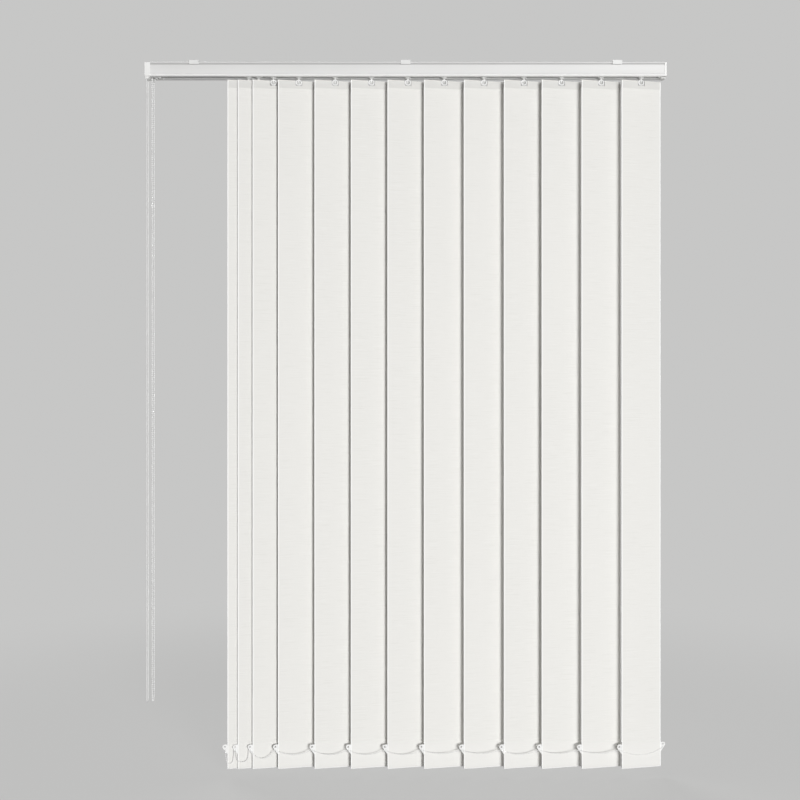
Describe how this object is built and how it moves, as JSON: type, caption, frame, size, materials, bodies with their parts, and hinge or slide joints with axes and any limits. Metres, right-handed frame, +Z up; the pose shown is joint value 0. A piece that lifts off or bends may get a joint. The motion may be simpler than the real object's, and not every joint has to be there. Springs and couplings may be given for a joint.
{
  "type": "vertical blind",
  "caption": "Vertical louvre blind: top-fix headrail with cord and chain controls, fabric louvres on sliding, tilting trucks and weighted hems joined by bead chains.",
  "frame": {"origin": "on the top face of the middle fixing clip, at the middle of the headrail's length and depth", "axes": "+X along the headrail to the right, -Y towards the room, +Z up"},
  "size_m": [1.1037, 0.043, 1.4966],
  "materials": {
    "rail": "white satin powder coat",
    "moulding": "white moulded plastic",
    "clip": "white moulded plastic",
    "rod": "mill finish",
    "carrier": "white acetal",
    "louvre": "off-white slub weave",
    "cord": "braided white cord",
    "chain": "white bead chain"
  },
  "bodies": {
    "rail": {"headrail": "rail", "control_housing": "moulding", "return_cap": "moulding", "fixing_clips": "clip", "draw_cord": "cord", "control_chain": "chain", "truck_13": "carrier"},
    "tilt_drive": {"tilt_rod": "rod", "chain_wheel": "moulding"},
    "truck_01": {"truck_01": "carrier"},
    "truck_02": {"truck_02": "carrier"},
    "truck_03": {"truck_03": "carrier"},
    "truck_04": {"truck_04": "carrier"},
    "truck_05": {"truck_05": "carrier"},
    "truck_06": {"truck_06": "carrier"},
    "truck_07": {"truck_07": "carrier"},
    "truck_08": {"truck_08": "carrier"},
    "truck_09": {"truck_09": "carrier"},
    "truck_10": {"truck_10": "carrier"},
    "truck_11": {"truck_11": "carrier"},
    "truck_12": {"truck_12": "carrier"},
    "louvre_01": {"louvre_01": "louvre"},
    "louvre_02": {"louvre_02": "louvre"},
    "louvre_03": {"louvre_03": "louvre"},
    "louvre_04": {"louvre_04": "louvre"},
    "louvre_05": {"louvre_05": "louvre"},
    "louvre_06": {"louvre_06": "louvre"},
    "louvre_07": {"louvre_07": "louvre"},
    "louvre_08": {"louvre_08": "louvre"},
    "louvre_09": {"louvre_09": "louvre"},
    "louvre_10": {"louvre_10": "louvre"},
    "louvre_11": {"louvre_11": "louvre"},
    "louvre_12": {"louvre_12": "louvre"},
    "louvre_13": {"louvre_13": "louvre"},
    "front_chain_01": {"front_chain_01": "chain"},
    "front_chain_02": {"front_chain_02": "chain"},
    "front_chain_03": {"front_chain_03": "chain"},
    "front_chain_04": {"front_chain_04": "chain"},
    "front_chain_05": {"front_chain_05": "chain"},
    "front_chain_06": {"front_chain_06": "chain"},
    "front_chain_07": {"front_chain_07": "chain"},
    "front_chain_08": {"front_chain_08": "chain"},
    "front_chain_09": {"front_chain_09": "chain"},
    "front_chain_10": {"front_chain_10": "chain"},
    "front_chain_11": {"front_chain_11": "chain"},
    "front_chain_12": {"front_chain_12": "chain"},
    "front_chain_end": {"front_chain_end": "chain"},
    "back_chain_01": {"back_chain_01": "chain"},
    "back_chain_02": {"back_chain_02": "chain"},
    "back_chain_03": {"back_chain_03": "chain"},
    "back_chain_04": {"back_chain_04": "chain"},
    "back_chain_05": {"back_chain_05": "chain"},
    "back_chain_06": {"back_chain_06": "chain"},
    "back_chain_07": {"back_chain_07": "chain"},
    "back_chain_08": {"back_chain_08": "chain"},
    "back_chain_09": {"back_chain_09": "chain"},
    "back_chain_10": {"back_chain_10": "chain"},
    "back_chain_11": {"back_chain_11": "chain"},
    "back_chain_12": {"back_chain_12": "chain"},
    "back_chain_end": {"back_chain_end": "chain"}
  },
  "joints": [
    {"name": "tilt_turn", "type": "hinge", "parent": "rail", "child": "tilt_drive", "pos_m": [0, 0.005, -0.017], "axis": [1, 0, 0], "range_deg": [0, 1224]},
    {"name": "truck_slide_12", "type": "slide", "parent": "rail", "child": "truck_12", "axis": [1, 0, 0], "range_m": [-0.0002, 0.0648]},
    {"name": "truck_slide_11", "type": "slide", "parent": "truck_12", "child": "truck_11", "axis": [1, 0, 0], "range_m": [-0.0006, 0.0644]},
    {"name": "truck_slide_10", "type": "slide", "parent": "truck_11", "child": "truck_10", "axis": [1, 0, 0], "range_m": [-0.0053, 0.0597]},
    {"name": "truck_slide_09", "type": "slide", "parent": "truck_10", "child": "truck_09", "axis": [1, 0, 0], "range_m": [-0.0002, 0.0648]},
    {"name": "truck_slide_08", "type": "slide", "parent": "truck_09", "child": "truck_08", "axis": [1, 0, 0], "range_m": [-0.0006, 0.0644]},
    {"name": "truck_slide_07", "type": "slide", "parent": "truck_08", "child": "truck_07", "axis": [1, 0, 0], "range_m": [-0.0078, 0.0572]},
    {"name": "truck_slide_06", "type": "slide", "parent": "truck_07", "child": "truck_06", "axis": [1, 0, 0], "range_m": [-0.0077, 0.0573]},
    {"name": "truck_slide_05", "type": "slide", "parent": "truck_06", "child": "truck_05", "axis": [1, 0, 0], "range_m": [-0.008, 0.057]},
    {"name": "truck_slide_04", "type": "slide", "parent": "truck_05", "child": "truck_04", "axis": [1, 0, 0], "range_m": [-0.0078, 0.0572]},
    {"name": "truck_slide_03", "type": "slide", "parent": "truck_04", "child": "truck_03", "axis": [1, 0, 0], "range_m": [-0.0182, 0.0338]},
    {"name": "truck_slide_02", "type": "slide", "parent": "truck_03", "child": "truck_02", "axis": [1, 0, 0], "range_m": [-0.0406, 0.0114]},
    {"name": "truck_slide_01", "type": "slide", "parent": "truck_02", "child": "truck_01", "axis": [1, 0, 0], "range_m": [-0.0504, 0.0016]},
    {"name": "louvre_turn_01", "type": "hinge", "parent": "truck_01", "child": "louvre_01", "pos_m": [-0.3336, 0, 0], "axis": [0, 0, 1], "range_deg": [0, 153]},
    {"name": "louvre_turn_02", "type": "hinge", "parent": "truck_02", "child": "louvre_02", "pos_m": [-0.312, 0, 0], "axis": [0, 0, 1], "range_deg": [0, 153]},
    {"name": "louvre_turn_03", "type": "hinge", "parent": "truck_03", "child": "louvre_03", "pos_m": [-0.2806, 0, 0], "axis": [0, 0, 1], "range_deg": [0, 153]},
    {"name": "louvre_turn_04", "type": "hinge", "parent": "truck_04", "child": "louvre_04", "pos_m": [-0.2268, 0, 0], "axis": [0, 0, 1], "range_deg": [0, 153]},
    {"name": "louvre_turn_05", "type": "hinge", "parent": "truck_05", "child": "louvre_05", "pos_m": [-0.1496, 0, 0], "axis": [0, 0, 1], "range_deg": [0, 153]},
    {"name": "louvre_turn_06", "type": "hinge", "parent": "truck_06", "child": "louvre_06", "pos_m": [-0.0726, 0, 0], "axis": [0, 0, 1], "range_deg": [0, 153]},
    {"name": "louvre_turn_07", "type": "hinge", "parent": "truck_07", "child": "louvre_07", "pos_m": [0.0047, 0, 0], "axis": [0, 0, 1], "range_deg": [0, 153]},
    {"name": "louvre_turn_08", "type": "hinge", "parent": "truck_08", "child": "louvre_08", "pos_m": [0.0819, 0, 0], "axis": [0, 0, 1], "range_deg": [0, 153]},
    {"name": "louvre_turn_09", "type": "hinge", "parent": "truck_09", "child": "louvre_09", "pos_m": [0.1663, 0, 0], "axis": [0, 0, 1], "range_deg": [0, 153]},
    {"name": "louvre_turn_10", "type": "hinge", "parent": "truck_10", "child": "louvre_10", "pos_m": [0.2511, 0, 0], "axis": [0, 0, 1], "range_deg": [0, 153]},
    {"name": "louvre_turn_11", "type": "hinge", "parent": "truck_11", "child": "louvre_11", "pos_m": [0.3308, 0, 0], "axis": [0, 0, 1], "range_deg": [0, 153]},
    {"name": "louvre_turn_12", "type": "hinge", "parent": "truck_12", "child": "louvre_12", "pos_m": [0.4152, 0, 0], "axis": [0, 0, 1], "range_deg": [0, 153]},
    {"name": "louvre_turn_13", "type": "hinge", "parent": "rail", "child": "louvre_13", "pos_m": [0.5, 0, 0], "axis": [0, 0, 1], "range_deg": [0, 153]},
    {"name": "front_chain_turn", "type": "hinge", "parent": "louvre_13", "child": "front_chain_end", "pos_m": [0.45138, -0.01167, 0], "axis": [0, 0, 1], "range_deg": [-153, 0]},
    {"name": "front_chain_slide_12", "type": "slide", "parent": "front_chain_end", "child": "front_chain_12", "axis": [1, 0, 0], "range_m": [-0.0002, 0.0648], "deforming": ["front_chain_12"]},
    {"name": "front_chain_slide_11", "type": "slide", "parent": "front_chain_12", "child": "front_chain_11", "axis": [1, 0, 0], "range_m": [-0.0006, 0.0644], "deforming": ["front_chain_11"]},
    {"name": "front_chain_slide_10", "type": "slide", "parent": "front_chain_11", "child": "front_chain_10", "axis": [1, 0, 0], "range_m": [-0.0053, 0.0597], "deforming": ["front_chain_10"]},
    {"name": "front_chain_slide_09", "type": "slide", "parent": "front_chain_10", "child": "front_chain_09", "axis": [1, 0, 0], "range_m": [-0.0002, 0.0648], "deforming": ["front_chain_09"]},
    {"name": "front_chain_slide_08", "type": "slide", "parent": "front_chain_09", "child": "front_chain_08", "axis": [1, 0, 0], "range_m": [-0.0006, 0.0644], "deforming": ["front_chain_08"]},
    {"name": "front_chain_slide_07", "type": "slide", "parent": "front_chain_08", "child": "front_chain_07", "axis": [1, 0, 0], "range_m": [-0.0078, 0.0572], "deforming": ["front_chain_07"]},
    {"name": "front_chain_slide_06", "type": "slide", "parent": "front_chain_07", "child": "front_chain_06", "axis": [1, 0, 0], "range_m": [-0.0077, 0.0573], "deforming": ["front_chain_06"]},
    {"name": "front_chain_slide_05", "type": "slide", "parent": "front_chain_06", "child": "front_chain_05", "axis": [1, 0, 0], "range_m": [-0.008, 0.057], "deforming": ["front_chain_05"]},
    {"name": "front_chain_slide_04", "type": "slide", "parent": "front_chain_05", "child": "front_chain_04", "axis": [1, 0, 0], "range_m": [-0.0078, 0.0572], "deforming": ["front_chain_04"]},
    {"name": "front_chain_slide_03", "type": "slide", "parent": "front_chain_04", "child": "front_chain_03", "axis": [1, 0, 0], "range_m": [-0.0182, 0.0338], "deforming": ["front_chain_03"]},
    {"name": "front_chain_slide_02", "type": "slide", "parent": "front_chain_03", "child": "front_chain_02", "axis": [1, 0, 0], "range_m": [-0.0406, 0.0114], "deforming": ["front_chain_02"]},
    {"name": "front_chain_slide_01", "type": "slide", "parent": "front_chain_02", "child": "front_chain_01", "axis": [1, 0, 0], "range_m": [-0.0504, 0.0016], "deforming": ["front_chain_01"]},
    {"name": "back_chain_turn", "type": "hinge", "parent": "louvre_13", "child": "back_chain_end", "pos_m": [0.54862, 0.01167, 0], "axis": [0, 0, 1], "range_deg": [-153, 0]},
    {"name": "back_chain_slide_12", "type": "slide", "parent": "back_chain_end", "child": "back_chain_12", "axis": [1, 0, 0], "range_m": [-0.0002, 0.0648], "deforming": ["back_chain_12"]},
    {"name": "back_chain_slide_11", "type": "slide", "parent": "back_chain_12", "child": "back_chain_11", "axis": [1, 0, 0], "range_m": [-0.0006, 0.0644], "deforming": ["back_chain_11"]},
    {"name": "back_chain_slide_10", "type": "slide", "parent": "back_chain_11", "child": "back_chain_10", "axis": [1, 0, 0], "range_m": [-0.0053, 0.0597], "deforming": ["back_chain_10"]},
    {"name": "back_chain_slide_09", "type": "slide", "parent": "back_chain_10", "child": "back_chain_09", "axis": [1, 0, 0], "range_m": [-0.0002, 0.0648], "deforming": ["back_chain_09"]},
    {"name": "back_chain_slide_08", "type": "slide", "parent": "back_chain_09", "child": "back_chain_08", "axis": [1, 0, 0], "range_m": [-0.0006, 0.0644], "deforming": ["back_chain_08"]},
    {"name": "back_chain_slide_07", "type": "slide", "parent": "back_chain_08", "child": "back_chain_07", "axis": [1, 0, 0], "range_m": [-0.0078, 0.0572], "deforming": ["back_chain_07"]},
    {"name": "back_chain_slide_06", "type": "slide", "parent": "back_chain_07", "child": "back_chain_06", "axis": [1, 0, 0], "range_m": [-0.0077, 0.0573], "deforming": ["back_chain_06"]},
    {"name": "back_chain_slide_05", "type": "slide", "parent": "back_chain_06", "child": "back_chain_05", "axis": [1, 0, 0], "range_m": [-0.008, 0.057], "deforming": ["back_chain_05"]},
    {"name": "back_chain_slide_04", "type": "slide", "parent": "back_chain_05", "child": "back_chain_04", "axis": [1, 0, 0], "range_m": [-0.0078, 0.0572], "deforming": ["back_chain_04"]},
    {"name": "back_chain_slide_03", "type": "slide", "parent": "back_chain_04", "child": "back_chain_03", "axis": [1, 0, 0], "range_m": [-0.0182, 0.0338], "deforming": ["back_chain_03"]},
    {"name": "back_chain_slide_02", "type": "slide", "parent": "back_chain_03", "child": "back_chain_02", "axis": [1, 0, 0], "range_m": [-0.0406, 0.0114], "deforming": ["back_chain_02"]},
    {"name": "back_chain_slide_01", "type": "slide", "parent": "back_chain_02", "child": "back_chain_01", "axis": [1, 0, 0], "range_m": [-0.0504, 0.0016], "deforming": ["back_chain_01"]}
  ],
  "couplings": [
    {"joint": "louvre_turn_01", "follows": "tilt_turn", "ratio": 0.125},
    {"joint": "louvre_turn_02", "follows": "tilt_turn", "ratio": 0.125},
    {"joint": "louvre_turn_03", "follows": "tilt_turn", "ratio": 0.125},
    {"joint": "louvre_turn_04", "follows": "tilt_turn", "ratio": 0.125},
    {"joint": "louvre_turn_05", "follows": "tilt_turn", "ratio": 0.125},
    {"joint": "louvre_turn_06", "follows": "tilt_turn", "ratio": 0.125},
    {"joint": "louvre_turn_07", "follows": "tilt_turn", "ratio": 0.125},
    {"joint": "louvre_turn_08", "follows": "tilt_turn", "ratio": 0.125},
    {"joint": "louvre_turn_09", "follows": "tilt_turn", "ratio": 0.125},
    {"joint": "louvre_turn_10", "follows": "tilt_turn", "ratio": 0.125},
    {"joint": "louvre_turn_11", "follows": "tilt_turn", "ratio": 0.125},
    {"joint": "louvre_turn_12", "follows": "tilt_turn", "ratio": 0.125},
    {"joint": "louvre_turn_13", "follows": "tilt_turn", "ratio": 0.125},
    {"joint": "front_chain_turn", "follows": "tilt_turn", "ratio": -0.125},
    {"joint": "front_chain_slide_12", "follows": "truck_slide_12", "ratio": 1},
    {"joint": "front_chain_slide_11", "follows": "truck_slide_11", "ratio": 1},
    {"joint": "front_chain_slide_10", "follows": "truck_slide_10", "ratio": 1},
    {"joint": "front_chain_slide_09", "follows": "truck_slide_09", "ratio": 1},
    {"joint": "front_chain_slide_08", "follows": "truck_slide_08", "ratio": 1},
    {"joint": "front_chain_slide_07", "follows": "truck_slide_07", "ratio": 1},
    {"joint": "front_chain_slide_06", "follows": "truck_slide_06", "ratio": 1},
    {"joint": "front_chain_slide_05", "follows": "truck_slide_05", "ratio": 1},
    {"joint": "front_chain_slide_04", "follows": "truck_slide_04", "ratio": 1},
    {"joint": "front_chain_slide_03", "follows": "truck_slide_03", "ratio": 1},
    {"joint": "front_chain_slide_02", "follows": "truck_slide_02", "ratio": 1},
    {"joint": "front_chain_slide_01", "follows": "truck_slide_01", "ratio": 1},
    {"joint": "back_chain_turn", "follows": "tilt_turn", "ratio": -0.125},
    {"joint": "back_chain_slide_12", "follows": "truck_slide_12", "ratio": 1},
    {"joint": "back_chain_slide_11", "follows": "truck_slide_11", "ratio": 1},
    {"joint": "back_chain_slide_10", "follows": "truck_slide_10", "ratio": 1},
    {"joint": "back_chain_slide_09", "follows": "truck_slide_09", "ratio": 1},
    {"joint": "back_chain_slide_08", "follows": "truck_slide_08", "ratio": 1},
    {"joint": "back_chain_slide_07", "follows": "truck_slide_07", "ratio": 1},
    {"joint": "back_chain_slide_06", "follows": "truck_slide_06", "ratio": 1},
    {"joint": "back_chain_slide_05", "follows": "truck_slide_05", "ratio": 1},
    {"joint": "back_chain_slide_04", "follows": "truck_slide_04", "ratio": 1},
    {"joint": "back_chain_slide_03", "follows": "truck_slide_03", "ratio": 1},
    {"joint": "back_chain_slide_02", "follows": "truck_slide_02", "ratio": 1},
    {"joint": "back_chain_slide_01", "follows": "truck_slide_01", "ratio": 1}
  ]
}
